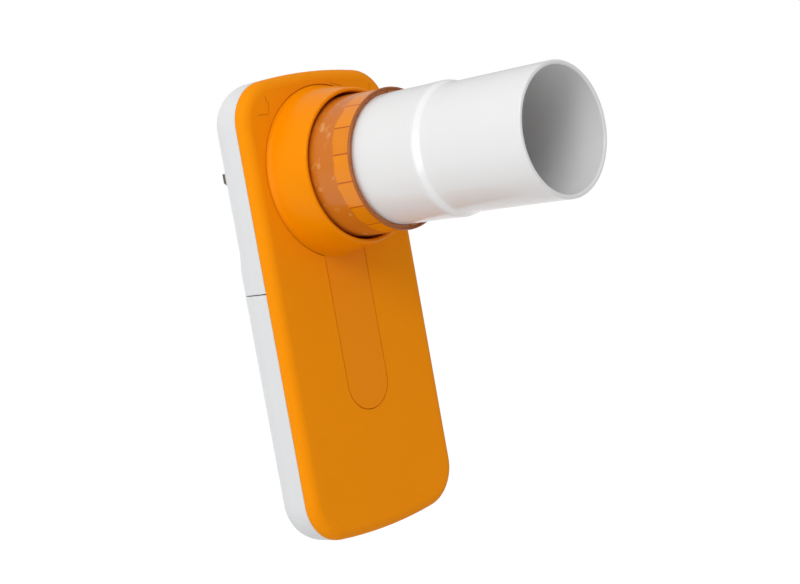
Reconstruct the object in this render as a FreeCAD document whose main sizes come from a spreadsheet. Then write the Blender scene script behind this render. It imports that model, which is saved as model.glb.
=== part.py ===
"""Handheld turbine spirometer: orange front with a round boss, white rear shell
and battery cover, a pull-out amber turbine and a push-on mouthpiece.

X points to the right of the face, Y to the back and Z up. The origin is the
middle of the housing, where a hand holds it. Lengths are millimetres.
"""
import FreeCAD, Part
import math
import os

import Sketcher

os.makedirs("parts", exist_ok=True)
doc = FreeCAD.newDocument("spirometer")
sheet = doc.addObject("Spreadsheet::Sheet", "sizes")

# Driving dimensions, in millimetres, degrees or plain counts
DRIVING = {
    # housing block; depths count back from its front face
    "body_width": 49.0,
    "body_height": 109.0,
    "body_depth": 14.0,
    "body_crown": 2.3,
    "corner_radius": 10.1,
    "front_round": 2.65,
    "back_round": 7.0,
    "split_depth": 2.8,
    "parting_gap": 0.1,
    "front_wall": 1.3,
    "rear_wall": 1.6,
    "door_wall": 1.1,
    "upper_step": 0.7,
    "step_drop": 19.2,
    "step_rise": 3.8,
    "seam_height": 1.5,
    "seam_gap": 0.25,
    # turbine axis and the boss around it
    "axis_drop": 23.7,
    "bezel_radius": 20.2,
    "bezel_gap": 0.2,
    "bezel_plate": 0.7,
    "plate_seat": 0.05,
    "boss_height": 10.5,
    "boss_tip_radius": 18.0,
    "boss_bore": 17.04,
    "boss_round": 0.45,
    "flare_height": 2.4,
    "flare_radius": 19.5,
    "flare_sweep": 6.0,
    "spigot_wall": 1.16,
    "spigot_length": 2.0,
    "tongue_width": 13.2,
    "tongue_reach": 56.7,
    # socket sleeve behind the boss
    "sleeve_bore": 16.6,
    "sleeve_wall": 1.3,
    "sleeve_gap": 0.05,
    "sleeve_end_gap": 0.2,
    "window_radius": 1.0,
    "beam_depth": 4.1,
    "beam_spread": 8.0,
    "vent_radius": 14.6,
    "vent_chamfer": 0.6,
    "seat_ring_wall": 0.9,
    "seat_ring_height": 2.2,
    # bayonet lugs of the turbine
    "lug_count": 3.0,
    "lug_width": 4.0,
    "lug_length": 1.6,
    "lug_rise": 0.45,
    "lug_inset": 2.8,
    "lug_gap": 0.15,
    "lock_turn": 30.0,
    # turbine tube
    "tube_radius": 16.4,
    "tube_front_radius": 16.0,
    "tube_front": 22.0,
    "tube_taper_start": 11.0,
    "tube_bore": 13.9,
    "tube_end_gap": 0.25,
    "waist_radius": 15.9,
    "band_length": 5.0,
    "rear_band_length": 7.0,
    "cup_depth": 5.0,
    "cup_clearance": 0.1,
    "cup_grooves": 16.0,
    "groove_width": 0.45,
    "groove_depth": 0.35,
    # flow straighteners
    "ring_wall": 0.8,
    "ring_seat": 0.5,
    "ring_length": 5.0,
    "fit_gap": 0.04,
    "hub_radius": 2.4,
    "nose_length": 1.8,
    "vane_count": 6.0,
    "vane_root": 1.9,
    "vane_thickness": 0.8,
    "vane_turn": 38.0,
    # rotor and its pivots
    "rotor_space": 10.4,
    "rotor_start": 5.0,
    "rotor_radius": 13.2,
    "rotor_length": 8.8,
    "rotor_thickness": 0.4,
    "rotor_angle": 35.0,
    "rotor_hub_radius": 1.0,
    "shaft_radius": 0.5,
    "pivot_radius": 0.3,
    "pivot_length": 0.9,
    "pivot_play": 0.05,
    "end_play": 0.1,
    "cup_radius": 1.45,
    "cup_length": 1.3,
    # mouthpiece; lengths count from its inner end
    "mouth_radius": 15.0,
    "mouth_length": 52.7,
    "mouth_bore": 13.7,
    "grip_length": 16.0,
    "crest_place": 22.6,
    "crest_radius": 15.2,
    "ledge_place": 25.05,
    "ledge_radius": 14.55,
    "shoulder_place": 26.8,
    "neck_radius": 14.45,
    "lip_radius": 14.72,
    "lip_round": 0.4,
    "crest_blend": 2.4,
    # battery tray and cells
    "door_gap": 0.3,
    "tray_floor": 0.7,
    "tray_bevel": 0.95,
    "bay_half_width": 11.0,
    "bay_wall": 1.0,
    "bay_wall_height": 6.4,
    "bay_floor": 6.5,
    "rail_wall": 1.6,
    "rail_height": 5.2,
    "rib_depth": 0.9,
    "rib_height": 0.9,
    "rib_place": 5.0,
    "rib_gap": 0.2,
    "rib_rise": 12.5,
    "cell_radius": 5.25,
    "cell_room": 14.5,
    "cell_nub_radius": 1.9,
    "cell_nub_height": 1.2,
    "cell_gap": 0.5,
    "cell_lift": 0.1,
    "contact_thickness": 0.4,
    "contact_size": 8.0,
    "spring_height": 3.0,
    "spring_radius": 3.2,
    "spring_wire": 0.25,
    "spring_turns": 3.0,
    "spring_cone": 20.0,
    "end_wall": 1.5,
    # screws and their bosses
    "screw_inset": 7.5,
    "screw_circle": 21.4,
    "screw_rise": 13.5,
    "screw_head": 1.9,
    "head_height": 1.2,
    "slot_reach": 1.2,
    "slot_width": 0.5,
    "screw_shank": 0.95,
    "shank_gap": 0.1,
    "boss_radius": 2.0,
    "boss_wall": 0.9,
    "upper_boss_top": 6.0,
    "lower_boss_top": 4.6,
    "upper_head_seat": 10.2,
    "lower_head_seat": 6.2,
    # latch tabs of the battery cover
    "tab_inset": 11.0,
    "tab_width": 4.0,
    "tab_thickness": 1.0,
    "tab_reach": 3.6,
    "tab_root": 3.0,
    # finger ridges on the back of the battery cover
    "ridge_high": -6.0,
    "ridge_reach": 11.0,
    "ridge_width": 1.2,
    "ridge_depth": 0.3,
    "ridge_pitch": 2.4,
    "ridge_count": 5.0,
    # cord lug on the left back edge
    "strap_inset": 2.2,
    "strap_drop": 21.85,
    "strap_length": 3.3,
    "strap_width": 1.2,
    "strap_foot": 10.2,
    "strap_top": 11.7,
    "strap_taper": 1.2,
    # circuit board, its lower edge measured down from the turbine's axis
    "board_depth": 2.2,
    "board_thickness": 0.8,
    "board_inset": 2.5,
    "board_low": 26.3,
    "board_hole_gap": 0.3,
    "leg_inner": 12.4,
    "leg_outset": 4.1,
    "leg_reach": 30.0,
    "hole_gap": 0.2,
    # packages on the board, two of them measured down from its lower edge
    "processor_side": 5.0,
    "processor_height": 0.9,
    "processor_drop": 18.4,
    "radio_edge": 0.3,
    "radio_length": 10.0,
    "radio_height": 1.8,
    "radio_down": 13.5,
    "memory_width": 4.0,
    "memory_length": 5.0,
    "memory_height": 1.2,
    "memory_down": 10.5,
    "small_width": 1.6,
    "small_length": 0.8,
    "small_height": 0.7,
    "small_pitch": 1.4,
    "light_outset": 3.2,
    "light_length": 3.4,
    "light_height": 2.2,
}


class Size:
    """A length, angle or count: its number and its formula in the sheet."""

    def __init__(self, number, formula):
        self.number = number
        self.formula = formula

    def __add__(self, other):
        other = as_size(other)
        return Size(self.number + other.number, "(%s + %s)" % (self.formula, other.formula))

    def __sub__(self, other):
        other = as_size(other)
        return Size(self.number - other.number, "(%s - %s)" % (self.formula, other.formula))

    def __mul__(self, other):
        other = as_size(other)
        return Size(self.number * other.number, "(%s * %s)" % (self.formula, other.formula))

    def __truediv__(self, other):
        other = as_size(other)
        return Size(self.number / other.number, "(%s / %s)" % (self.formula, other.formula))

    def __neg__(self):
        return Size(-self.number, "(0 - %s)" % self.formula)

    def root(self):
        return Size(math.sqrt(self.number), "sqrt(%s)" % self.formula)


def as_size(value):
    if isinstance(value, Size):
        return value
    return Size(float(value), repr(float(value)))


def fill_sheet():
    """Writes each driving dimension as a row: its name, then its aliased number."""
    for row, (name, value) in enumerate(DRIVING.items(), start=1):
        sheet.set("A%d" % row, name)
        sheet.set("B%d" % row, str(value))
        sheet.setAlias("B%d" % row, name)
    doc.recompute()


def size(name):
    return Size(DRIVING[name], "sizes." + name)


def bind(thing, place, value):
    thing.setExpression(place, as_size(value).formula)


# Sketches

def plane_of(body, role):
    return [item for item in body.Origin.OriginFeatures if item.Role == role][0]


def sketch_on(body, role, name, distance=0.0):
    """A sketch parallel to an origin plane, at a distance along the plus axis."""
    sketch = body.newObject("Sketcher::SketchObject", name)
    sketch.AttachmentSupport = (plane_of(body, role), "")
    sketch.MapMode = "FlatFace"
    distance = as_size(distance)
    if role == "XZ_Plane":
        distance = -distance
    bind(sketch, "AttachmentOffset.Base.z", distance)
    return sketch


def hold(sketch, kind, side, end, value):
    """Dimensions one point of a sketch from its origin, by a formula."""
    value = as_size(value)
    number = sketch.addConstraint(Sketcher.Constraint(kind, -1, 1, side, end, value.number))
    sketch.setExpression("Constraints[%d]" % number, value.formula)


def arc_between(start, end, radius):
    """The minor arc from start to end: it turns left for a plus radius, else right."""
    chord = end - start
    half = chord.Length / 2
    left = FreeCAD.Vector(-chord.y, chord.x, 0) / chord.Length
    sideways = math.sqrt(max(radius * radius - half * half, 0.0))
    centre = (start + end) / 2 + left * math.copysign(sideways, radius)
    first, last = (start, end) if radius > 0 else (end, start)
    angles = [math.atan2(spot.y - centre.y, spot.x - centre.x) for spot in (first, last)]
    circle = Part.Circle(centre, FreeCAD.Vector(0, 0, 1), abs(radius))
    return Part.ArcOfCircle(circle, angles[0], angles[1])


def outline(sketch, *corners):
    """Closes an outline through its corners, each held by its two formulas.

    A corner with a third value has an arc of that radius as the side that
    leaves it, which turns left for a plus radius and right for a minus one.
    """
    first = sketch.GeometryCount
    corners = [tuple(as_size(value) for value in corner) for corner in corners]
    spots = [FreeCAD.Vector(corner[0].number, corner[1].number, 0) for corner in corners]
    ends = []
    for corner, start, end in zip(corners, spots, spots[1:] + spots[:1]):
        if len(corner) == 3:
            radius = corner[2].number
            side = sketch.addGeometry(arc_between(start, end, radius), False)
            ends.append((1, 2) if radius > 0 else (2, 1))
            length = corner[2] if radius > 0 else -corner[2]
            number = sketch.addConstraint(Sketcher.Constraint("Radius", side, length.number))
            sketch.setExpression("Constraints[%d]" % number, length.formula)
        else:
            sketch.addGeometry(Part.LineSegment(start, end), False)
            ends.append((1, 2))
    count = len(corners)
    for index in range(count):
        following = (index + 1) % count
        sketch.addConstraint(Sketcher.Constraint(
            "Coincident", first + index, ends[index][1], first + following, ends[following][0]))
    for index, corner in enumerate(corners):
        hold(sketch, "DistanceX", first + index, ends[index][0], corner[0])
        hold(sketch, "DistanceY", first + index, ends[index][0], corner[1])


def circle(sketch, across, up, radius):
    across, up, radius = as_size(across), as_size(up), as_size(radius)
    centre = FreeCAD.Vector(across.number, up.number, 0)
    shape = Part.Circle(centre, FreeCAD.Vector(0, 0, 1), radius.number)
    side = sketch.addGeometry(shape, False)
    hold(sketch, "DistanceX", side, 3, across)
    hold(sketch, "DistanceY", side, 3, up)
    number = sketch.addConstraint(Sketcher.Constraint("Radius", side, radius.number))
    sketch.setExpression("Constraints[%d]" % number, radius.formula)


def rectangle(sketch, left, low, right, high):
    outline(sketch, (left, low), (right, low), (right, high), (left, high))


# Features

def new_body(name, across=0.0, height=0.0):
    """A sub-part whose own front plane lies in the housing's front face."""
    body = doc.addObject("PartDesign::Body", name)
    body.Label = name
    body.AllowCompound = True
    bind(body, "Placement.Base.x", across)
    bind(body, "Placement.Base.y", -size("body_depth") / 2)
    bind(body, "Placement.Base.z", height)
    return body


def grow(body, name, role, low, high, draw):
    """Pads a drawn outline between two distances along the plane's plus axis."""
    sketch = sketch_on(body, role, name + "_sketch", low)
    draw(sketch)
    pad = body.newObject("PartDesign::Pad", name)
    pad.Profile = sketch
    pad.Reversed = role == "XZ_Plane"
    bind(pad, "Length", as_size(high) - low)
    doc.recompute()
    return pad


def carve(body, name, role, low, high, draw):
    """Pockets a drawn outline between two distances along the plane's plus axis."""
    before = body.Shape.Volume
    sketch = sketch_on(body, role, name + "_sketch", low)
    draw(sketch)
    pocket = body.newObject("PartDesign::Pocket", name)
    pocket.Profile = sketch
    pocket.Reversed = role != "XZ_Plane"
    bind(pocket, "Length", as_size(high) - low)
    doc.recompute()
    if body.Shape.Volume > before - 1e-6:
        raise RuntimeError(name + " cuts nothing")
    return pocket


def spin(body, name, role, *corners):
    """Revolves a half profile about the sketch's upright axis."""
    sketch = sketch_on(body, role, name + "_sketch")
    outline(sketch, *corners)
    turned = body.newObject("PartDesign::Revolution", name)
    turned.Profile = sketch
    turned.ReferenceAxis = (sketch, ["V_Axis"])
    turned.Angle = 360
    doc.recompute()
    return turned


def round_off(body, name, base, edges, radius):
    if not edges:
        raise RuntimeError(name + " finds no edge")
    fillet = body.newObject("PartDesign::Fillet", name)
    fillet.Base = (base, edges)
    bind(fillet, "Radius", radius)
    doc.recompute()
    return fillet


def bevel(body, name, base, edges, length):
    if not edges:
        raise RuntimeError(name + " finds no edge")
    chamfer = body.newObject("PartDesign::Chamfer", name)
    chamfer.Base = (base, edges)
    bind(chamfer, "Size", length)
    doc.recompute()
    return chamfer


def around(body, name, feature, count, sketch, axis="V_Axis"):
    """Repeats a feature around the axis of its sketch."""
    pattern = body.newObject("PartDesign::PolarPattern", name)
    pattern.Originals = [feature]
    pattern.Axis = (sketch, [axis])
    pattern.Angle = 360
    bind(pattern, "Occurrences", count)
    body.Tip = pattern
    doc.recompute()
    return pattern


def both_sides(body, name, *features):
    """Mirrors features to the other side of the housing."""
    mirror = body.newObject("PartDesign::Mirrored", name)
    mirror.Originals = list(features)
    mirror.MirrorPlane = (plane_of(body, "YZ_Plane"), [""])
    body.Tip = mirror
    doc.recompute()
    return mirror


CLOSE = 1e-4


def edges_where(feature, test):
    return ["Edge%d" % number for number, edge in enumerate(feature.Shape.Edges, start=1) if test(edge)]


def faces_where(feature, test):
    return ["Face%d" % number for number, face in enumerate(feature.Shape.Faces, start=1) if test(face)]


def runs_back(edge):
    """True for a straight edge that runs along Y."""
    box = edge.BoundBox
    return box.XLength < CLOSE and box.ZLength < CLOSE


def flat_at(box, axis, value):
    """True for a box that is flat along one axis and lies at that value."""
    low = getattr(box, axis + "Min")
    high = getattr(box, axis + "Max")
    return abs(low - value) < CLOSE and abs(high - value) < CLOSE


def ring_edge(feature, radius, depth):
    """The circular edges of one radius at one depth, about the upright sketch axis."""
    def matches(edge):
        if not isinstance(edge.Curve, Part.Circle):
            return False
        right_size = abs(edge.Curve.Radius - as_size(radius).number) < CLOSE
        return right_size and abs(edge.BoundBox.Center.y - as_size(depth).number) < CLOSE
    return edges_where(feature, matches)


# The housing's outline

def crown_radius():
    half = size("body_width") / 2
    crown = size("body_crown")
    return (half * half + crown * crown) / (crown * 2)


def shoulder(inset):
    """Height of the outline's corners when it is drawn smaller by an inset."""
    radius = crown_radius()
    reach = radius - inset
    half = size("body_width") / 2 - inset
    return size("body_height") / 2 - radius + (reach * reach - half * half).root()


def housing_outline(sketch, inset=0.0, low=None, high=None):
    """The housing's crowned outline, whole or cut straight at a height."""
    inset = as_size(inset)
    half = size("body_width") / 2 - inset
    arc = crown_radius() - inset
    corner = shoulder(inset)
    bottom = [(-half, -corner, arc), (half, -corner)]
    if low is not None:
        bottom = [(-half, low), (half, low)]
    top = [(half, corner, arc), (-half, corner)]
    if high is not None:
        top = [(half, high), (-half, high)]
    outline(sketch, *(bottom + top))


def corner_edges(feature, low=None, high=None):
    """The four edges along Y at the outline's corners, or those beyond a cut."""
    def at_corner(edge):
        height = edge.BoundBox.Center.z
        above = low is None or height > as_size(low).number + CLOSE
        below = high is None or height < as_size(high).number - CLOSE
        return runs_back(edge) and above and below
    return edges_where(feature, at_corner)


def upper_depth():
    return size("body_depth") - size("upper_step")


# Places that follow from the housing

def axis_height():
    """Height of the turbine's axis above the middle of the housing."""
    return size("body_height") / 2 - size("axis_drop")


def screw_across():
    return size("body_width") / 2 - size("screw_inset")


def screw_up():
    """The upper screws keep their distance from the turbine's axis."""
    reach = size("screw_circle")
    across = screw_across()
    return axis_height() + (reach * reach - across * across).root()


def screw_down():
    return size("body_height") / 2 - size("screw_rise")


def step_low():
    return axis_height() - size("step_drop")


def bay_bottom():
    return size("body_height") / 2 - size("bay_floor")


def cell_length():
    """The cells fill the room between the housing's lower end and the circuit board's panel."""
    return size("body_height") / 2 + board_bottom() - size("cell_room")


def rib_low():
    return size("body_height") / 2 - size("rib_rise")


def board_bottom():
    """The board's lower edge, with what is soldered near it, keeps clear of the socket."""
    return axis_height() - size("board_low")


def seam_place():
    """The seam between the two rear shells, just above the board's lower edge."""
    return board_bottom() + size("seam_height")


def leg_width():
    return size("body_width") / 2 - size("leg_inner") - size("leg_outset")


def rear_start():
    return size("split_depth") + size("parting_gap")


# Front cover

def keyhole_bottom():
    return axis_height() - size("tongue_reach")


def draw_tongue(sketch, grow_by, height=0.0):
    """The tongue below the boss, with its round end, seen from a given height."""
    half = size("tongue_width") / 2 + grow_by
    end = keyhole_bottom() - height - grow_by
    top = axis_height() - height
    outline(sketch, (-half, end + half, half), (0.0, end, half), (half, end + half),
            (half, top), (-half, top))


def front_cover():
    body = new_body("front_cover")
    split = size("split_depth")
    wall = size("front_wall")
    axis = axis_height()
    block = grow(body, "block", "XZ_Plane", 0.0, split, housing_outline)
    corners = round_off(body, "corners", block, corner_edges(block), size("corner_radius"))
    front = edges_where(corners, lambda edge: flat_at(edge.BoundBox, "Y", 0.0))
    rounded = round_off(body, "front_edge", corners, front, size("front_round"))
    shell = body.newObject("PartDesign::Thickness", "shell")
    shell.Base = (rounded, faces_where(rounded, lambda face: flat_at(face.BoundBox, "Y", split.number)))
    shell.Reversed = True
    bind(shell, "Value", wall)
    doc.recompute()
    seat = size("bezel_plate") + size("plate_seat")
    gap = size("bezel_gap")
    carve(body, "ring_recess", "XZ_Plane", 0.0, seat,
          lambda sketch: circle(sketch, 0.0, axis, size("bezel_radius") + gap))
    carve(body, "tongue_recess", "XZ_Plane", 0.0, seat, lambda sketch: draw_tongue(sketch, gap))
    carve(body, "socket_hole", "XZ_Plane", 0.0, wall,
          lambda sketch: circle(sketch, 0.0, axis, size("boss_bore") + size("spigot_wall") + gap))
    across = screw_across()
    shelf = grow(body, "board_shelf", "XZ_Plane", wall, size("board_depth"),
                 lambda sketch: circle(sketch, across, screw_up(), size("boss_radius") + size("boss_wall")))
    upper = grow(body, "upper_boss", "XZ_Plane", wall, size("upper_boss_top"),
                 lambda sketch: circle(sketch, across, screw_up(), size("boss_radius")))
    lower = grow(body, "lower_boss", "XZ_Plane", wall, size("lower_boss_top"),
                 lambda sketch: circle(sketch, across, -screw_down(), size("boss_radius")))
    upper_hole = carve(body, "upper_pilot", "XZ_Plane", wall, size("upper_boss_top"),
                       lambda sketch: circle(sketch, across, screw_up(), size("screw_shank")))
    lower_hole = carve(body, "lower_pilot", "XZ_Plane", wall, size("lower_boss_top"),
                       lambda sketch: circle(sketch, across, -screw_down(), size("screw_shank")))
    both_sides(body, "left_bosses", shelf, upper, lower, upper_hole, lower_hole)


# Boss and tongue of the turbine socket

def socket_bezel():
    axis = axis_height()
    body = new_body("socket_bezel", height=axis)
    bore = size("boss_bore")
    plate = size("bezel_plate")
    spigot = bore + size("spigot_wall")
    tip = -size("boss_height")
    grow(body, "tongue", "XZ_Plane", 0.0, plate, lambda sketch: draw_tongue(sketch, 0.0, axis))
    carve(body, "tongue_opening", "XZ_Plane", 0.0, plate, lambda sketch: circle(sketch, 0.0, 0.0, bore))
    boss = spin(body, "boss", "XY_Plane",
                (bore, tip), (size("boss_tip_radius"), tip),
                (size("flare_radius"), -size("flare_height"), -size("flare_sweep")),
                (size("bezel_radius"), 0.0), (size("bezel_radius"), plate),
                (spigot, plate), (spigot, size("spigot_length")), (bore, size("spigot_length")))
    rim = ring_edge(boss, size("boss_tip_radius"), tip) + ring_edge(boss, bore, tip)
    round_off(body, "rim", boss, rim, size("boss_round"))


# Rear cover

def draw_band(sketch, depth, inner_depth, inset):
    """A band that follows the rear profile round its two back edges."""
    half = size("body_width") / 2
    back = size("back_round")
    front = rear_start()
    inside = half - inset
    small = back - inset
    floor = inner_depth - inset
    outline(sketch, (half, front), (half, depth - back, back), (half - back, depth),
            (-(half - back), depth, back), (-half, depth - back), (-half, front),
            (-inside, front), (-inside, floor - small, -small), (-(half - back), floor),
            (half - back, floor, -small), (inside, floor - small), (inside, front))


def shell_half(body, depth, wall, low=None, high=None):
    """A rounded half of the rear shell, open at the front and at its cut end."""
    start = rear_start()
    block = grow(body, "block", "XZ_Plane", start, depth,
                 lambda sketch: housing_outline(sketch, low=low, high=high))
    corners = round_off(body, "corners", block, corner_edges(block, low, high), size("corner_radius"))
    cut = low if low is not None else high

    def on_back(edge):
        return flat_at(edge.BoundBox, "Y", depth.number) and not flat_at(edge.BoundBox, "Z", cut.number)
    rounded = round_off(body, "back_edge", corners, edges_where(corners, on_back), size("back_round"))

    def open_face(face):
        return flat_at(face.BoundBox, "Y", start.number) or flat_at(face.BoundBox, "Z", cut.number)
    shell = body.newObject("PartDesign::Thickness", "shell")
    shell.Base = (rounded, faces_where(rounded, open_face))
    shell.Reversed = True
    bind(shell, "Value", wall)
    doc.recompute()
    return shell


def rear_cover():
    body = new_body("rear_cover")
    wall = size("rear_wall")
    depth = upper_depth()
    axis = axis_height()
    seam = seam_place()
    low = step_low()
    high = low + size("step_rise")
    shell_half(body, depth, wall, low=seam)
    first = sketch_on(body, "XY_Plane", "step_foot", seam)
    draw_band(first, size("body_depth"), depth, wall / 2)
    bend = sketch_on(body, "XY_Plane", "ramp_foot", low)
    draw_band(bend, size("body_depth"), depth, wall / 2)
    last = sketch_on(body, "XY_Plane", "ramp_top", high)
    draw_band(last, depth, depth, wall / 2)
    ramp = body.newObject("PartDesign::AdditiveLoft", "step_and_ramp")
    ramp.Profile = first
    ramp.Sections = [bend, last]
    ramp.Ruled = True
    doc.recompute()
    # ring that the socket sleeve stands in, and the air vent through the back
    ring_inner = size("sleeve_bore") + size("sleeve_wall") + size("bezel_gap")

    def draw_ring(sketch):
        circle(sketch, 0.0, axis, ring_inner)
        circle(sketch, 0.0, axis, ring_inner + size("seat_ring_wall"))
    grow(body, "sleeve_seat", "XZ_Plane", depth - wall - size("seat_ring_height"),
         depth - wall + size("parting_gap"), draw_ring)
    vent = carve(body, "vent", "XZ_Plane", depth - wall, depth,
                 lambda sketch: circle(sketch, 0.0, axis, size("vent_radius")))
    bevel(body, "vent_edge", vent, ring_edge(vent, size("vent_radius"), depth), size("vent_chamfer"))
    # screw bosses that meet those of the front cover
    across = screw_across()
    up = screw_up()
    start = size("upper_boss_top") + size("plate_seat")
    seat = size("upper_head_seat")
    boss = grow(body, "boss", "XZ_Plane", start, depth - wall,
                lambda sketch: circle(sketch, across, up, size("screw_head") + size("boss_wall") + size("shank_gap")))
    shank = carve(body, "shank_hole", "XZ_Plane", start, seat,
                  lambda sketch: circle(sketch, across, up, size("screw_shank") + size("shank_gap")))
    head = carve(body, "head_hole", "XZ_Plane", seat, depth,
                 lambda sketch: circle(sketch, across, up, size("screw_head") + size("shank_gap")))
    both_sides(body, "left_boss", boss, shank, head)
    strap_bar(body)


def strap_bar(body):
    """A small lug on the rounded left back edge, tapered at its lower end."""
    across = size("strap_inset") - size("body_width") / 2
    low = size("body_height") / 2 - size("strap_drop") - size("strap_length") / 2
    high = low + size("strap_length")
    foot = size("strap_foot")
    top = size("strap_top")
    left = across - size("strap_width") / 2
    right = across + size("strap_width") / 2

    def draw_bar(sketch):
        # side view, along Y and Z
        outline(sketch, (foot, low), (top, low + size("strap_taper")), (top, high), (foot, high))
    grow(body, "strap_bar", "YZ_Plane", left, right, draw_bar)


# Battery cover

def battery_cover():
    body = new_body("battery_cover")
    depth = size("body_depth")
    wall = size("door_wall")
    seam = seam_place() - size("seam_gap")
    half = size("body_width") / 2
    shell_half(body, depth, wall, high=seam)
    # guide ribs that run in the tray's rails
    low = -rib_low()
    rib_top = seam - size("tab_root")
    place = size("rib_place")
    rib = grow(body, "rib", "XY_Plane", low, rib_top,
               lambda sketch: rectangle(sketch, half - wall - size("rib_depth"), place,
                                        half - wall / 2, place + size("rib_height")))
    # latch tabs that hook under the rear cover
    inner = half - size("tab_inset")
    outer = inner + size("tab_width")
    hook_back = upper_depth() - size("rear_wall") - size("door_gap")
    hook_front = hook_back - size("tab_thickness")
    root = grow(body, "tab_root", "XY_Plane", seam - size("tab_root"), seam,
                lambda sketch: rectangle(sketch, inner, hook_front, outer, depth - wall / 2))
    hook = grow(body, "tab_hook", "XY_Plane", seam - size("tab_root"), seam + size("tab_reach"),
                lambda sketch: rectangle(sketch, inner, hook_front, outer, hook_back))
    both_sides(body, "left_guides", rib, root, hook)
    # ridges for the finger that pushes the cover down
    high = size("ridge_high")
    reach = size("ridge_reach")
    ridge = carve(body, "finger_groove", "XZ_Plane", depth - size("ridge_depth"), depth,
                  lambda sketch: rectangle(sketch, -reach, high - size("ridge_width"), reach, high))
    row = body.newObject("PartDesign::LinearPattern", "finger_grooves")
    row.Originals = [ridge]
    row.Direction = (ridge.Profile[0], ["V_Axis"])
    row.Reversed = True
    bind(row, "Length", size("ridge_pitch") * (size("ridge_count") - 1))
    bind(row, "Occurrences", size("ridge_count"))
    body.Tip = row
    doc.recompute()


# Battery tray, cells and contacts

def tray_start():
    return size("front_wall") + size("plate_seat")


def bay_top():
    """Height of the bay's upper end: cell, spring and a contact at each end."""
    return (-bay_bottom() + size("contact_thickness") * 2
            + size("spring_height") + cell_length())


def cell_centre_depth():
    return tray_start() + size("tray_floor") + size("cell_lift") + size("cell_radius")


def battery_tray():
    body = new_body("battery_tray")
    start = tray_start()
    floor = start + size("tray_floor")
    inset = size("door_wall") + size("door_gap")
    top = bay_top() + size("end_wall")
    bay = size("bay_half_width")
    wall = size("bay_wall")
    wall_top = floor + size("bay_wall_height")
    low = -bay_bottom()

    def full(sketch):
        housing_outline(sketch, inset, high=top)
    slab = grow(body, "slab", "XZ_Plane", start, floor + size("rail_height"), full)
    corners = round_off(body, "corners", slab, corner_edges(slab, high=top), size("corner_radius") - inset)

    def front_rim(edge):
        return flat_at(edge.BoundBox, "Y", start.number) and not flat_at(edge.BoundBox, "Z", top.number)
    bevel(body, "front_bevel", corners, edges_where(corners, front_rim), size("tray_bevel"))
    half = size("body_width") / 2 - inset
    rail = half - size("rail_wall")
    curve = size("corner_radius")
    # side bays for the circuit board's legs, open at the top
    side = carve(body, "side_bay", "XZ_Plane", floor, floor + size("rail_height"),
                 lambda sketch: rectangle(sketch, bay + wall, -size("body_height") / 2 + curve, rail, top))
    both_sides(body, "left_bay", side)
    carve(body, "cell_bay", "XZ_Plane", floor, floor + size("rail_height"),
          lambda sketch: rectangle(sketch, -bay, low, bay, bay_top()))
    # walls beside the cells
    wall_block = grow(body, "bay_side", "XZ_Plane", floor + size("rail_height"), wall_top,
                      lambda sketch: rectangle(sketch, bay, low - size("end_wall"), bay + wall, top))
    both_sides(body, "left_bay_side", wall_block)
    # grooves for the battery cover's ribs, open at the lower end
    place = size("rib_place")
    gap = size("rib_gap")
    groove_floor = size("body_width") / 2 - size("door_wall") - size("rib_depth") - gap
    groove = carve(body, "rail_groove", "XY_Plane", -size("body_height") / 2, top,
                   lambda sketch: rectangle(sketch, groove_floor, place - gap, size("body_width") / 2,
                                            place + size("rib_height") + gap))
    both_sides(body, "left_groove", groove)
    # holes for the front cover's bosses, and the sleeves that the screws press on
    across = screw_across()
    down = -screw_down()
    seat = size("lower_head_seat")
    collar = size("boss_radius") + size("hole_gap") + size("boss_wall")
    boss = grow(body, "screw_collar", "XZ_Plane", start, seat,
                lambda sketch: circle(sketch, across, down, collar))
    bore = carve(body, "boss_bore", "XZ_Plane", start, size("lower_boss_top") + size("plate_seat"),
                 lambda sketch: circle(sketch, across, down, size("boss_radius") + size("hole_gap")))
    shank = carve(body, "shank_hole", "XZ_Plane", start, seat,
                  lambda sketch: circle(sketch, across, down, size("screw_shank") + size("shank_gap")))
    both_sides(body, "left_collar", boss, bore, shank)


def cell(name, side, tip_up):
    """An AAA cell: side is -1 or 1, and its plus end points up or down."""
    pitch = size("cell_radius") + size("cell_gap") / 2
    lower = -bay_bottom() + size("contact_thickness")
    bottom = lower + size("spring_height") if tip_up else lower
    body = doc.addObject("PartDesign::Body", name)
    body.Label = name
    bind(body, "Placement.Base.x", pitch * side)
    bind(body, "Placement.Base.y", cell_centre_depth() - size("body_depth") / 2)
    bind(body, "Placement.Base.z", bottom if tip_up else bottom + cell_length())
    if not tip_up:
        body.setExpression("Placement.Rotation.Axis.x", "1")
        body.setExpression("Placement.Rotation.Axis.z", "0")
        body.setExpression("Placement.Rotation.Angle", "180")
    radius = size("cell_radius")
    nub = size("cell_nub_radius")
    length = cell_length()
    can = length - size("cell_nub_height")
    turned = spin(body, "can", "XZ_Plane", (0.0, 0.0), (radius, 0.0), (radius, can), (nub, can),
                  (nub, length), (0.0, length))

    def can_rim(edge):
        return isinstance(edge.Curve, Part.Circle) and abs(edge.Curve.Radius - radius.number) < CLOSE
    round_off(body, "rims", turned, edges_where(turned, can_rim), size("contact_thickness"))


def contact(name, left, right, height):
    """A sheet contact against the end of the bay, across one or both cells."""
    thickness = size("contact_thickness")
    half = size("contact_size") / 2
    middle = cell_centre_depth()
    body = new_body(name, height=height)
    grow(body, "plate", "XY_Plane", 0.0, thickness,
         lambda sketch: rectangle(sketch, left, middle - half, right, middle + half))


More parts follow.
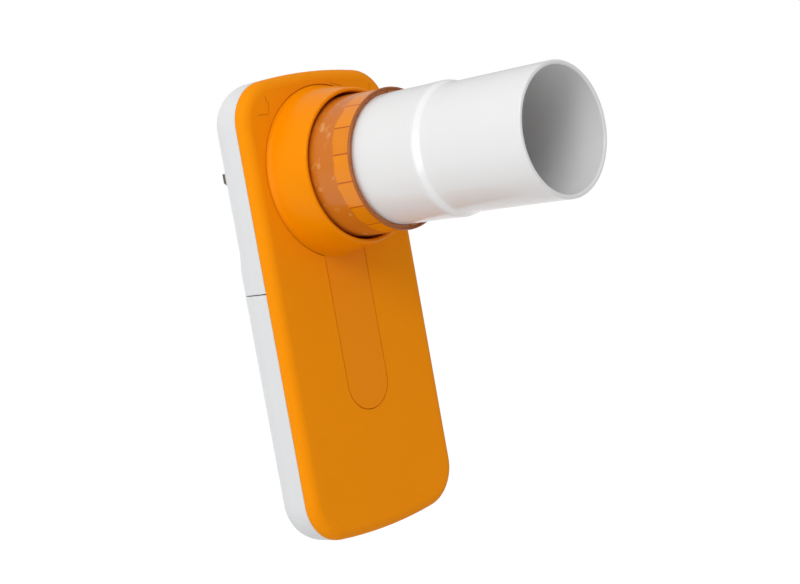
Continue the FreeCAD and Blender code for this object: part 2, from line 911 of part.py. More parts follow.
def contacts():
    pitch = size("cell_radius") + size("cell_gap") / 2
    half = size("contact_size") / 2
    thickness = size("contact_thickness")
    low = -bay_bottom()
    top = bay_top() - thickness
    contact("bridge_contact", -pitch - half, pitch + half, low)
    contact("positive_contact", -pitch - half, -pitch + half, top)
    contact("negative_contact", pitch - half, pitch + half, top)
    springs = []
    lift = low + thickness
    for name, side, base, turned_over in (("spring_left", -1, lift, False), ("spring_right", 1, top, True)):
        springs.append(coil(name, pitch * side, base, turned_over))
    group = doc.addObject("Part::Compound", "contact_springs")
    group.Label = "contact_springs"
    group.Links = springs
    doc.recompute()


def coil(name, across, base, turned_over):
    """A conical coil spring: its wide turn on the contact, its narrow turn at the cell."""
    wire = size("spring_wire")
    free = size("spring_height") - wire * 2
    path = doc.addObject("Part::Helix", name + "_path")
    bind(path, "Pitch", free / size("spring_turns"))
    bind(path, "Height", free)
    bind(path, "Radius", size("spring_radius"))
    bind(path, "Angle", -size("spring_cone"))
    path.SegmentLength = 1
    ring = doc.addObject("Part::RegularPolygon", name + "_wire")
    bind(ring, "Circumradius", wire)
    ring.Polygon = 8
    bind(ring, "Placement.Base.x", size("spring_radius"))
    ring.setExpression("Placement.Rotation.Axis.x", "1")
    ring.setExpression("Placement.Rotation.Axis.z", "0")
    ring.setExpression("Placement.Rotation.Angle", "90")
    doc.recompute()
    turns = len(path.Shape.Edges)
    sweep = doc.addObject("Part::Sweep", name)
    sweep.Sections = [ring]
    sweep.Spine = (path, ["Edge%d" % turn for turn in range(1, turns + 1)])
    sweep.Solid = True
    sweep.Frenet = True
    bind(sweep, "Placement.Base.x", across)
    bind(sweep, "Placement.Base.y", cell_centre_depth() - size("body_depth") / 2)
    if turned_over:
        bind(sweep, "Placement.Base.z", base - wire)
        sweep.setExpression("Placement.Rotation.Axis.x", "1")
        sweep.setExpression("Placement.Rotation.Axis.z", "0")
        sweep.setExpression("Placement.Rotation.Angle", "180")
    else:
        bind(sweep, "Placement.Base.z", base + wire)
    return sweep


# Screws

def screws(name, up, seat, tip):
    """A mirrored pair of screws, driven from the back."""
    body = new_body(name, height=up)
    across = screw_across()
    head = size("screw_head")
    shank = size("screw_shank") - size("fit_gap")
    rod = grow(body, "shank", "XZ_Plane", tip, seat, lambda sketch: circle(sketch, across, 0.0, shank))
    cap = grow(body, "head", "XZ_Plane", seat, seat + size("head_height"),
               lambda sketch: circle(sketch, across, 0.0, head))
    arm = size("slot_reach")
    half = size("slot_width") / 2
    top = seat + size("head_height")
    # cross recess of the head
    level = carve(body, "level_slot", "XZ_Plane", top - size("head_height") / 2, top,
                  lambda sketch: rectangle(sketch, across - arm, -half, across + arm, half))
    upright = carve(body, "upright_slot", "XZ_Plane", top - size("head_height") / 2, top,
                    lambda sketch: rectangle(sketch, across - half, -arm, across + half, arm))
    both_sides(body, "left_screw", rod, cap, level, upright)


# Socket sleeve

def socket_sleeve():
    axis = axis_height()
    body = new_body("socket_sleeve", height=axis)
    start = size("spigot_length") + size("sleeve_gap")
    end = upper_depth() - size("rear_wall") - size("sleeve_end_gap")
    bore = size("sleeve_bore")
    outer = bore + size("sleeve_wall")
    spin(body, "sleeve", "XY_Plane", (bore, start), (outer, start), (outer, end), (bore, end))
    # entry slots and locking grooves for the turbine's lugs
    reach = size("tube_radius") + size("lug_rise") + size("lug_gap")
    half = size("lug_width") / 2 + size("lug_gap")
    back = lug_back() + size("lug_gap")
    entry = carve(body, "lug_entry", "XZ_Plane", start, back,
                  lambda sketch: rectangle(sketch, -half, 0.0, half, reach))
    around(body, "lug_entries", entry, size("lug_count"), entry.Profile[0], "N_Axis")
    groove_front = lug_back() - size("lug_length") - size("lug_gap")
    ring = sketch_on(body, "XY_Plane", "lock_groove_sketch")
    outline(ring, (bore - size("lug_gap"), groove_front), (reach, groove_front), (reach, back),
            (bore - size("lug_gap"), back))
    groove = body.newObject("PartDesign::Groove", "lock_groove")
    groove.Profile = ring
    groove.ReferenceAxis = (ring, ["V_Axis"])
    bind(groove, "Angle", size("lock_turn") * 2)
    doc.recompute()
    around(body, "lock_grooves", groove, size("lug_count"), ring)
    # windows of the two light beams
    for index, side in enumerate((-1, 1), start=1):
        spread = size("beam_spread") / 2 * side
        carve(body, "window_%d" % index, "YZ_Plane", -outer, outer,
              lambda sketch: circle(sketch, size("beam_depth"), spread, size("window_radius")))


# Turbine

def tube_end():
    return upper_depth() - size("rear_wall") - size("tube_end_gap")


def lug_back():
    return tube_end() - size("lug_inset")


def turbine_housing():
    axis = axis_height()
    body = new_body("turbine_housing", height=axis)
    bore = size("tube_bore")
    outer = size("tube_radius")
    front = -size("tube_front")
    end = tube_end()
    cup = size("mouth_radius") + size("cup_clearance")
    cup_floor = front + size("cup_depth")
    seat = bore + size("ring_seat")
    waist = size("waist_radius")
    rotor_front = -size("rotor_start") + size("plate_seat")
    rotor_back = rotor_front + size("rotor_space")
    taper = -size("tube_taper_start")
    front_band = taper + size("band_length")
    rear_band = end - size("rear_band_length")
    step = outer - waist
    turned = spin(body, "tube", "XY_Plane",
                  (cup, front), (size("tube_front_radius"), front), (outer, taper), (outer, front_band),
                  (waist, front_band + step), (waist, rear_band - step), (outer, rear_band), (outer, end),
                  (seat, end), (seat, rotor_back), (bore, rotor_back), (bore, rotor_front),
                  (seat, rotor_front), (seat, cup_floor), (cup, cup_floor))
    # lugs that lock in the socket sleeve
    half = size("lug_width") / 2
    rise = size("lug_rise")
    back = lug_back()
    lug = grow(body, "lug", "XZ_Plane", back - size("lug_length"), back,
               lambda sketch: rectangle(sketch, -half, outer - rise, half, outer + rise - size("fit_gap")))
    around(body, "lugs", lug, size("lug_count"), lug.Profile[0], "N_Axis")
    # fine grooves round the cup that grips the mouthpiece
    slot = size("groove_width") / 2
    groove = carve(body, "grip_groove", "XZ_Plane", front, cup_floor,
                   lambda sketch: rectangle(sketch, -slot, cup - size("cup_clearance"), slot,
                                            cup + size("groove_depth")))
    around(body, "grip_grooves", groove, size("cup_grooves"), groove.Profile[0], "N_Axis")


VANE_SECTIONS = 4


def straightener(name, start, nose_side):
    """Ring, hub and turned vanes that set the air spinning; the nose faces away from the rotor."""
    axis = axis_height()
    body = new_body(name, height=axis)
    length = size("ring_length")
    end = start + length
    inner = start if nose_side > 0 else end
    outer_end = end if nose_side > 0 else start
    hub = size("hub_radius")
    nose = size("nose_length")
    cup = size("cup_radius") + size("fit_gap")
    depth = size("cup_length") + size("fit_gap")
    dome = (hub * hub + nose * nose) / (nose * 2)
    spin(body, "hub", "XY_Plane",
         (0.0, outer_end), (0.0, inner + depth * nose_side), (cup, inner + depth * nose_side), (cup, inner),
         (hub, inner), (hub, outer_end - nose * nose_side, dome * nose_side))
    # one vane, lofted through turned sections
    ring_outer = size("tube_bore") + size("ring_seat") - size("fit_gap")
    ring_inner = ring_outer - size("ring_wall")
    root = size("vane_root")
    reach = ring_inner + size("ring_wall") / 2
    half = size("vane_thickness") / 2
    sections = []
    for step in range(VANE_SECTIONS):
        share = step / (VANE_SECTIONS - 1)
        from_nose = share if nose_side < 0 else 1 - share
        sketch = sketch_on(body, "XZ_Plane", "vane_section_%d" % (step + 1), start + length * share)
        bind(sketch, "AttachmentOffset.Rotation.Angle", size("vane_turn") * from_nose * from_nose)
        rectangle(sketch, root, -half, reach, half)
        sections.append(sketch)
    vane = body.newObject("PartDesign::AdditiveLoft", "vane")
    vane.Profile = sections[0]
    vane.Sections = sections[1:]
    doc.recompute()
    around(body, "vanes", vane, size("vane_count"), sections[0], "N_Axis")
    spin(body, "ring", "XY_Plane", (ring_inner, start), (ring_outer, start), (ring_outer, end), (ring_inner, end))


def pivot_cup(name, mouth, side):
    """A bearing cup in a straightener's hub: side is the way its closed end points."""
    body = new_body(name, height=axis_height())
    radius = size("cup_radius")
    bore = size("pivot_radius") + size("pivot_play")
    length = size("cup_length")
    depth = size("pivot_length") + size("end_play")
    spin(body, "cup", "XY_Plane", (0.0, mouth + length * side), (radius, mouth + length * side),
         (radius, mouth), (bore, mouth), (bore, mouth + depth * side), (0.0, mouth + depth * side))


def rotor():
    axis = axis_height()
    front = -size("rotor_start") + size("plate_seat")
    back = front + size("rotor_space")
    body = new_body("rotor_shaft", height=axis)
    play = size("end_play")
    pin = size("pivot_length")
    shaft = size("shaft_radius")
    pivot = size("pivot_radius")
    low = front + play
    high = back - play
    spin(body, "shaft", "XY_Plane", (0.0, low - pin), (pivot, low - pin), (pivot, low), (shaft, low),
         (shaft, high), (pivot, high), (pivot, high + pin), (0.0, high + pin))
    vane = new_body("rotor_vane", height=axis)
    vane.setExpression("Placement.Rotation.Axis.y", "1")
    vane.setExpression("Placement.Rotation.Axis.z", "0")
    bind(vane, "Placement.Rotation.Angle", size("rotor_angle"))
    middle = (front + back) / 2
    half = size("rotor_length") / 2
    thin = size("rotor_thickness") / 2
    reach = size("rotor_radius")
    bore = shaft + size("fit_gap") / 2
    grow(vane, "blade", "XZ_Plane", middle - half, middle + half,
         lambda sketch: rectangle(sketch, -reach, -thin, reach, thin))
    grow(vane, "hub", "XZ_Plane", middle - half, middle + half,
         lambda sketch: circle(sketch, 0.0, 0.0, size("rotor_hub_radius")))
    carve(vane, "hub_bore", "XZ_Plane", middle - half, middle + half,
          lambda sketch: circle(sketch, 0.0, 0.0, bore))


def mouthpiece():
    body = new_body("mouthpiece", height=axis_height())
    inner_end = -size("tube_front") + size("cup_depth") - size("plate_seat")
    mouth_end = inner_end - size("mouth_length")
    bore = size("mouth_bore")
    crest = inner_end - size("crest_place")
    ledge = inner_end - size("ledge_place")
    neck = inner_end - size("shoulder_place")
    turned = spin(body, "wall", "XY_Plane",
                  (bore, mouth_end), (size("lip_radius"), mouth_end), (size("neck_radius"), neck),
                  (size("ledge_radius"), ledge), (size("crest_radius"), crest),
                  (size("mouth_radius"), inner_end - size("grip_length")),
                  (size("mouth_radius"), inner_end), (bore, inner_end))
    bends = ring_edge(turned, size("crest_radius"), crest) + ring_edge(turned, size("ledge_radius"), ledge)
    smooth = round_off(body, "bends", turned, bends, size("crest_blend"))
    lip = ring_edge(smooth, size("lip_radius"), mouth_end) + ring_edge(smooth, bore, mouth_end)
    round_off(body, "lip", smooth, lip, size("lip_round"))


# Circuit board and what is soldered to it

def circuit_board():
    body = new_body("circuit_board")
    low = size("board_depth")
    high = low + size("board_thickness")
    inset = size("board_inset")
    hole = size("sleeve_bore") + size("sleeve_wall") + size("board_hole_gap")
    bottom = board_bottom()
    main = grow(body, "panel", "XZ_Plane", low, high,
                lambda sketch: housing_outline(sketch, inset, low=bottom))
    round_off(body, "corners", main, corner_edges(main, low=bottom), size("corner_radius") - inset)
    inner = size("leg_inner")
    leg = grow(body, "leg", "XZ_Plane", low, high,
               lambda sketch: rectangle(sketch, inner, -size("leg_reach"), inner + leg_width(), bottom))
    both_sides(body, "left_leg", leg)
    carve(body, "socket_hole", "XZ_Plane", low, high, lambda sketch: circle(sketch, 0.0, axis_height(), hole))
    boss = carve(body, "boss_hole", "XZ_Plane", low, high,
                 lambda sketch: circle(sketch, screw_across(), screw_up(),
                                       size("boss_radius") + size("hole_gap")))
    both_sides(body, "left_boss_hole", boss)


# Capacitors and resistors on the board's back face, by leg (-1 left, 1 right, 0 between),
# then the steps across from that leg's middle and up from the board's lower edge
SMALL_PARTS = [(-1, 0, 9), (-1, -2, 2), (-1, 2, 2), (-1, 0, -12), (-1, 0, -15),
               (1, 0, -3), (1, -2, 4), (1, 1, 4), (1, 2, 6), (0, -1, 1), (0, 1, 1)]


def package(name, across, up, width, height, thickness):
    """A box-shaped package whose foot stands on the board's back face."""
    box = doc.addObject("Part::Box", name)
    box.Label = name
    bind(box, "Length", width)
    bind(box, "Width", thickness)
    bind(box, "Height", height)
    foot = size("board_depth") + size("board_thickness") - size("body_depth") / 2
    bind(box, "Placement.Base.x", as_size(across) - width / 2)
    bind(box, "Placement.Base.y", foot)
    bind(box, "Placement.Base.z", as_size(up) - height / 2)
    return box


def group(name, members):
    whole = doc.addObject("Part::Compound", name)
    whole.Label = name
    whole.Links = members


def electronics():
    circuit_board()
    leg = size("leg_inner") + leg_width() / 2
    side = size("processor_side")
    package("microcontroller", -leg, axis_height() - size("processor_drop"), side, side,
            size("processor_height"))
    package("radio_module", leg, board_bottom() - size("radio_down"), leg_width() - size("radio_edge") * 2,
            size("radio_length"), size("radio_height"))
    package("memory_chip", -leg, board_bottom() - size("memory_down"), size("memory_width"),
            size("memory_length"), size("memory_height"))
    pitch = size("small_pitch")
    small = []
    for number, (which, across, up) in enumerate(SMALL_PARTS, start=1):
        small.append(package("small_part_%d" % number, leg * which + pitch * across,
                             board_bottom() + pitch * up, size("small_width"), size("small_length"),
                             size("small_height")))
    group("board_components", small)
    # two light pairs that look across the sleeve
    start = size("sleeve_bore") + size("sleeve_wall") + size("board_hole_gap") * 2
    deep = size("body_width") / 2 - size("light_outset") - start
    reach = start + deep / 2
    spread = size("beam_spread") / 2
    for name, way in (("light_emitters", -1), ("light_receivers", 1)):
        pair = [package("%s_%d" % (name, number), reach * way, axis_height() + spread * place,
                        deep, size("light_length"), size("light_height"))
                for number, place in enumerate((-1, 1), start=1)]
        group(name, pair)


def build_all():
    fill_sheet()
    front_cover()
    socket_bezel()
    rear_cover()
    battery_cover()
    battery_tray()
    cell("cell_left", -1, True)
    cell("cell_right", 1, False)
    contacts()
    screws("upper_screws", screw_up(), size("upper_head_seat"), size("board_depth"))
    screws("lower_screws", -screw_down(), size("lower_head_seat"), size("board_depth"))
    socket_sleeve()
    turbine_housing()
    straightener("front_straightener", -size("rotor_start") - size("ring_length"), -1)
    straightener("rear_straightener", -size("rotor_start") + size("rotor_space") + size("plate_seat") * 2, 1)
    pivot_cup("front_pivot_cup", -size("rotor_start"), -1)
    pivot_cup("rear_pivot_cup", -size("rotor_start") + size("rotor_space") + size("plate_seat") * 2, 1)
    rotor()
    mouthpiece()
    electronics()
    doc.recompute()


NODES = [
    "front_cover", "socket_bezel", "rear_cover", "battery_cover", "battery_tray", "cell_left", "cell_right",
    "bridge_contact", "positive_contact", "negative_contact", "contact_springs", "upper_screws",
    "lower_screws", "socket_sleeve", "turbine_housing", "front_straightener", "rear_straightener",
    "front_pivot_cup", "rear_pivot_cup", "rotor_shaft", "rotor_vane", "mouthpiece", "circuit_board",
    "microcontroller", "radio_module", "memory_chip", "board_components", "light_emitters",
    "light_receivers",
]


def check_and_write():
    """Stops at a failed feature or a bad shape; only then writes the files."""
    failed = [item.Name for item in doc.Objects if "Invalid" in item.State or "Error" in item.State]
    if failed:
        raise RuntimeError("features that failed: " + ", ".join(failed))
    shapes = {}
    for name in NODES:
        item = doc.getObject(name)
        if item.Shape.isNull() or not item.Shape.isValid():
            raise RuntimeError(name + " has no valid shape")
        shapes[name] = item.Shape
    for name, shape in shapes.items():
        shape.exportStep("parts/%s.step" % name)
        print("%-20s solids %d  volume %.1f" % (name, len(shape.Solids), shape.Volume))


build_all()
check_and_write()
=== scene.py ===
import math

import bpy
from mathutils import Matrix, Vector


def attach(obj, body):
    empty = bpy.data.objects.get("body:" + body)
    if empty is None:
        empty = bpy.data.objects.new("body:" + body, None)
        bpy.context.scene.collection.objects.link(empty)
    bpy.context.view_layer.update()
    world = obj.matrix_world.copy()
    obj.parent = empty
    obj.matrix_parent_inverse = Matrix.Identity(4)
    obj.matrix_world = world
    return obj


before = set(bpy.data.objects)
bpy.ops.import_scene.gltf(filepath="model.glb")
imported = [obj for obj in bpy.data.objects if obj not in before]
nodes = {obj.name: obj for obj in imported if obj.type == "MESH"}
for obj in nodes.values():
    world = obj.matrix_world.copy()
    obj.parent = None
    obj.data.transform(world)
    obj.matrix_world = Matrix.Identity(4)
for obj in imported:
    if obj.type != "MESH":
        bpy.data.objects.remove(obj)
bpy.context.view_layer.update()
bpy.ops.object.select_all(action="DESELECT")
scene = bpy.context.scene
print("frame loaded:", len(nodes), "nodes")


# Camera, fitted to the outline of the face in the photo

cameraView = {
    "place": (-0.31858, -0.32053, 0.03185),
    "heading": 0.8182,          # turn from the +Y axis towards +X, radians
    "pitch": -0.0713,
    "roll": math.radians(10.14),
    "lens": 85.914,
    "sensor": 36,
    "clip": (0.01, 50),
}


def makeCamera(view):
    heading, pitch, roll = view["heading"], view["pitch"], view["roll"]
    level = Vector((math.sin(heading), math.cos(heading), 0))
    side = Vector((math.cos(heading), -math.sin(heading), 0))
    up = Vector((0, 0, 1))
    look = level * math.cos(pitch) + up * math.sin(pitch)
    over = up * math.cos(pitch) - level * math.sin(pitch)
    right = side * math.cos(roll) - over * math.sin(roll)
    top = side * math.sin(roll) + over * math.cos(roll)
    data = bpy.data.cameras.new("camera")
    data.sensor_width = view["sensor"]
    data.lens = view["lens"]
    data.clip_start, data.clip_end = view["clip"]
    camera = bpy.data.objects.new("camera", data)
    scene.collection.objects.link(camera)
    turn = Matrix((right, top, -look)).transposed().to_4x4()
    camera.matrix_world = Matrix.Translation(view["place"]) @ turn
    scene.camera = camera


makeCamera(cameraView)
print("camera placed")


# Shader maths: a wire is one socket, and an expression on wires adds its Math nodes

class Wire:
    def __init__(self, tree, socket):
        self.tree = tree
        self.socket = socket

    def maths(self, operation, *values):
        return self.tree.add("ShaderNodeMath", {"operation": operation}, dict(enumerate(values)))

    def other(self, name):                # another output of the same node
        return Wire(self.tree, self.socket.node.outputs[name])

    def __add__(self, value):
        return self.maths("ADD", self, value)

    def __radd__(self, value):
        return self.maths("ADD", value, self)

    def __sub__(self, value):
        return self.maths("SUBTRACT", self, value)

    def __rsub__(self, value):
        return self.maths("SUBTRACT", value, self)

    def __mul__(self, value):
        return self.maths("MULTIPLY", self, value)

    def __rmul__(self, value):
        return self.maths("MULTIPLY", value, self)

    def __truediv__(self, value):
        return self.maths("DIVIDE", self, value)

    def __rtruediv__(self, value):
        return self.maths("DIVIDE", value, self)

    def __abs__(self):
        return self.maths("ABSOLUTE", self)

    def root(self):
        return self.maths("SQRT", self)

    def sine(self):
        return self.maths("SINE", self)

    def whole(self):
        return self.maths("FLOOR", self)

    def fraction(self):
        return self.maths("FRACT", self)

    def most(self, value):
        return self.maths("MAXIMUM", self, value)

    def clipped(self):
        return self.maths("MINIMUM", self.most(0.0), 1.0)


def screenColour(red, green, blue):       # screen values 0 to 255 made linear
    def linear(value):
        share = value / 255
        return share / 12.92 if share <= 0.04045 else ((share + 0.055) / 1.055) ** 2.4
    return (linear(red), linear(green), linear(blue), 1.0)


def tinted(colour, share):
    return tuple(value * share for value in colour[:3]) + (1.0,)


class Tree:                               # a node tree, of a material or of the world
    def __init__(self, nodeTree):
        self.nodeTree = nodeTree

    def add(self, kind, settings, inputs, output=0):
        node = self.nodeTree.nodes.new(kind)
        for name, value in settings.items():
            setattr(node, name, value)
        for name, value in inputs.items():
            if isinstance(value, Wire):
                self.nodeTree.links.new(value.socket, node.inputs[name])
            else:
                node.inputs[name].default_value = value
        return Wire(self, node.outputs[output])

    def end(self, wire, output):
        self.nodeTree.links.new(wire.socket, self.nodeTree.nodes[output].inputs["Surface"])


class Finish(Tree):                       # one material, with its shader and its object place
    def __init__(self, name, colour, settings):
        self.material = bpy.data.materials.new(name)
        self.material.use_nodes = True
        super().__init__(self.material.node_tree)
        self.shader = self.nodeTree.nodes["Principled BSDF"]
        self.shader.inputs["Base Color"].default_value = colour
        for socket, value in settings.items():
            self.shader.inputs[socket].default_value = value
        self.place = self.add("ShaderNodeTexCoord", {}, {}, "Object")
        self.x = self.add("ShaderNodeSeparateXYZ", {}, {0: self.place})
        self.y = self.x.other("Y")
        self.z = self.x.other("Z")

    def set(self, socket, wire):
        self.nodeTree.links.new(wire.socket, self.shader.inputs[socket])

    def noise(self, scale, detail=2.0, stretch=(1, 1, 1)):
        place = self.add("ShaderNodeMapping", {}, {"Vector": self.place, "Scale": stretch})
        return self.add("ShaderNodeTexNoise", {}, {"Vector": place, "Scale": scale, "Detail": detail})

    def between(self, value, low, high):      # 0 below low, 1 above high, smooth in between
        return self.add("ShaderNodeMapRange", {"interpolation_type": "SMOOTHSTEP"},
                        {"Value": value, "From Min": low, "From Max": high, "To Min": 0.0, "To Max": 1.0})

    def edge(self, value, place, soft):       # 0 before the place, 1 after it
        return self.between(value, place - soft, place + soft)

    def band(self, value, low, high, soft):   # 1 from low to high
        return self.edge(value, low, soft) * (1 - self.edge(value, high, soft))

    def blend(self, share, first, second):    # colours only
        return self.add("ShaderNodeMix", {"data_type": "RGBA"}, {0: share, 6: first, 7: second}, 2)

    def mottled(self, share, colour, shades):
        return self.blend(share, tinted(colour, shades[0]), tinted(colour, shades[1]))

    def roughness(self, middle, spread, share):
        return middle - spread / 2 + spread * share

    def bump(self, height, depth):
        self.set("Normal", self.add("ShaderNodeBump", {}, {"Height": height, "Distance": depth}))

    def lineShare(self, start, end, width):   # 1 on a fine line on the face; the points are in mm
        startX, startZ = start[0] / 1000, start[1] / 1000
        runX, runZ = (end[0] - start[0]) / 1000, (end[1] - start[1]) / 1000
        along = (((self.x - startX) * runX + (self.z - startZ) * runZ) / (runX ** 2 + runZ ** 2)).clipped()
        offX = self.x - startX - along * runX
        offZ = self.z - startZ - along * runZ
        away = (offX * offX + offZ * offZ).root()
        return 1 - self.between(away, width / 2000, width / 1000)

    def dress(self, *names):
        for name in names:
            materials = nodes[name].data.materials
            if not materials:
                materials.append(self.material)
            for index in range(len(materials)):
                materials[index] = self.material


# Orange soft-touch front cover, with its engraved marks

frontCoverLook = {
    "colour": screenColour(247, 146, 0),
    "shades": (0.97, 1.02),
    "roughness": 0.66,
    "roughSpread": 0.12,
    "specular": 0.08,
    "grainScale": 2600.0,
    "grainDepth": 0.000012,
    "cloudScale": 55.0,
    "faceEnd": (-0.0066, -0.0062),        # behind these the crown turns away and carries no marks
    "markWidth": 0.22,
    "markShade": 0.8,
    "markDepth": 6.0,                     # in grain depths
    "marks": [
        ((-16.3, 49.8), (-16.2, 48.7)),
        ((-16.2, 48.7), (-15.65, 48.3)),
        ((-15.65, 48.4), (-16.2, 45.8)),
        ((-16.2, 45.8), (-19.6, 45.9)),
        ((18.5, 49.5), (18.2, 48.2)),
        ((5.5, 50.95), (8.7, 49.95)),
    ],
}


def frontCoverFinish(look):
    finish = Finish("orangeSoftTouch", look["colour"], {
        "Roughness": look["roughness"], "Specular IOR Level": look["specular"]})
    cloud = finish.noise(look["cloudScale"], 3.0)
    grain = finish.noise(look["grainScale"], 3.0)
    marks = None
    for start, end in look["marks"]:
        line = finish.lineShare(start, end, look["markWidth"])
        marks = line if marks is None else marks.most(line)
    marks = marks * (1 - finish.between(finish.y, *look["faceEnd"]))
    plain = finish.mottled(cloud, look["colour"], look["shades"])
    finish.set("Base Color", finish.blend(marks, plain, tinted(look["colour"], look["markShade"])))
    finish.set("Roughness", finish.roughness(look["roughness"], look["roughSpread"], grain))
    finish.bump(grain - marks * look["markDepth"], look["grainDepth"])
    return finish


frontCoverFinish(frontCoverLook).dress("front_cover")


# Boss and tongue: the same orange with more gloss

bezelLook = {
    "colour": screenColour(244, 142, 0),
    "shades": (0.975, 1.01),
    "roughness": 0.21,
    "roughSpread": 0.1,
    "specular": 0.07,
    "cloudScale": 45.0,
    "grainScale": 3200.0,
    "grainDepth": 0.000006,
}


def bezelFinish(look):
    finish = Finish("orangeSatin", look["colour"], {
        "Roughness": look["roughness"], "Specular IOR Level": look["specular"]})
    cloud = finish.noise(look["cloudScale"])
    grain = finish.noise(look["grainScale"])
    finish.set("Base Color", finish.mottled(cloud, look["colour"], look["shades"]))
    finish.set("Roughness", finish.roughness(look["roughness"], look["roughSpread"], cloud))
    finish.bump(grain, look["grainDepth"])
    return finish


bezelFinish(bezelLook).dress("socket_bezel")


# White rear shell and battery cover

shellLook = {
    "colour": screenColour(221, 222, 223),
    "shades": (0.985, 1.01),
    "roughness": 0.46,
    "roughSpread": 0.1,
    "specular": 0.4,
    "cloudScale": 38.0,
    "grainScale": 2200.0,
    "grainDepth": 0.00001,
    "arrowTop": -0.0205,
    "arrowHeight": 0.0042,
    "arrowHalf": 0.0036,
    "arrowShade": 0.72,
    "arrowDepth": 8.0,                    # in grain depths
    "arrowEdge": 0.0001,
    "arrowEnds": 0.01,                    # share of the arrow's height
    "backStart": (0.0066, 0.0068),        # only the flat back carries the arrow
    # a dark patch at the back-left edge by the small rear lug: a painted shadow line between the lug and
    # the shell
    "lugShadowColour": screenColour(92, 84, 74),
    "lugShadowFade": 0.0002,
    "lugShadowEdge": 0.00005,
    "lugShadowBox": ((-0.0231, 0.0038, 0.0308), (-0.0214, 0.0050, 0.0346)),
}


def shellFinish(name, look):
    finish = Finish(name, look["colour"], {
        "Roughness": look["roughness"], "Specular IOR Level": look["specular"]})
    cloud = finish.noise(look["cloudScale"])
    grain = finish.noise(look["grainScale"])
    finish.set("Roughness", finish.roughness(look["roughness"], look["roughSpread"], cloud))
    return finish, finish.mottled(cloud, look["colour"], look["shades"]), grain


def rearCoverFinish(look):
    finish, plain, grain = shellFinish("whiteShell", look)
    low, high = look["lugShadowBox"]
    # painted shadow line beside the rear lug, darkening the shell there
    lugShadow = finish.between(finish.y, low[1], low[1] + look["lugShadowFade"])
    lugShadow = lugShadow * finish.band(finish.x, low[0], high[0], look["lugShadowEdge"])
    lugShadow = lugShadow * finish.band(finish.z, low[2], high[2], look["lugShadowEdge"])
    finish.set("Base Color", finish.blend(lugShadow, plain, look["lugShadowColour"]))
    finish.bump(grain, look["grainDepth"])
    return finish


def batteryCoverFinish(look):
    finish, plain, grain = shellFinish("whiteCover", look)
    drop = (look["arrowTop"] - finish.z) / look["arrowHeight"]       # 0 at the arrow's top, 1 at its tip
    inside = look["arrowHalf"] * (1 - drop) - abs(finish.x)
    arrow = finish.between(inside, 0.0, look["arrowEdge"]) * finish.band(drop, 0.0, 1.0, look["arrowEnds"])
    arrow = arrow * finish.between(finish.y, *look["backStart"])
    finish.set("Base Color", finish.blend(arrow, plain, tinted(look["colour"], look["arrowShade"])))
    finish.bump(grain - arrow * look["arrowDepth"], look["grainDepth"])
    return finish


rearCoverFinish(shellLook).dress("rear_cover")
batteryCoverFinish(shellLook).dress("battery_cover")
print("shells dressed")


# Mouthpiece: smooth white, a little glossier than the shell

mouthpieceLook = {
    "colour": screenColour(229, 229, 229),
    "shades": (0.99, 1.01),
    "roughness": 0.18,
    "roughSpread": 0.1,
    "specular": 0.4,
    "cloudScale": 60.0,
    "ringScale": 900.0,
    "ringStretch": (0.05, 1, 0.05),
    "ringDepth": 0.000004,
    "polished": screenColour(238, 238, 238),      # the slope in front of the raised band, painted paler as a painted highlight
    "polish": 0.04,
    "slope": (-0.0488, -0.0472),
    "slopeEdge": 0.0003,
}


def mouthpieceFinish(look):
    finish = Finish("whiteMouthpiece", look["colour"], {
        "Roughness": look["roughness"], "Specular IOR Level": look["specular"]})
    cloud = finish.noise(look["cloudScale"])
    drawn = finish.noise(look["ringScale"], stretch=look["ringStretch"])
    slope = finish.band(finish.y, *look["slope"], look["slopeEdge"])
    plain = finish.mottled(cloud, look["colour"], look["shades"])
    rough = finish.roughness(look["roughness"], look["roughSpread"], cloud)
    # the slope in front of the raised band gets a paler colour, which is a painted highlight, and a little
    # less roughness
    finish.set("Base Color", finish.blend(slope, plain, look["polished"]))
    finish.set("Roughness", rough - look["polish"] * slope)
    finish.bump(drawn, look["ringDepth"])
    return finish


mouthpieceFinish(mouthpieceLook).dress("mouthpiece")


# Amber turbine: a translucent tube, with the grip segments painted brighter where the white mouthpiece
# stands behind them, a painted glow of light shining through the amber

turbineLook = {
    "colour": screenColour(223, 126, 32),
    "bright": screenColour(255, 153, 4),
    "line": screenColour(206, 100, 14),
    "glintColour": screenColour(250, 186, 112),
    "edge": screenColour(218, 130, 58),
    "axisZ": 0.0308,
    "cupStart": (-0.0244, -0.0239),
    "cupEnd": -0.02892,
    "cupEdge": 0.0001,
    "unevenScale": 330.0,
    "uneven": 0.0022,
    "outer": (0.0148, 0.0152),            # radii between the cup's inner wall and its outside
    "ring": (-0.0238, -0.0174),
    "ringEdge": 0.0003,
    "glintScale": 420.0,
    "glintRange": (0.58, 0.72),
    "glintShare": 0.6,
    "segments": 16,
    "lineCore": 0.000132,                 # a line is full up to here and gone at its width
    "lineWidth": 0.00022,
    "glowTurn": 2.4,
    "glowSpread": 0.12,
    "glowMiddle": 0.86,
    "bumpScale": 700.0,
    "bumpDepth": 0.000008,
    "vaneScale": 200.0,
}


def amberSettings(roughness, transmission, specular):
    return {"Roughness": roughness, "Transmission Weight": transmission, "IOR": 1.49,
            "Specular IOR Level": specular}


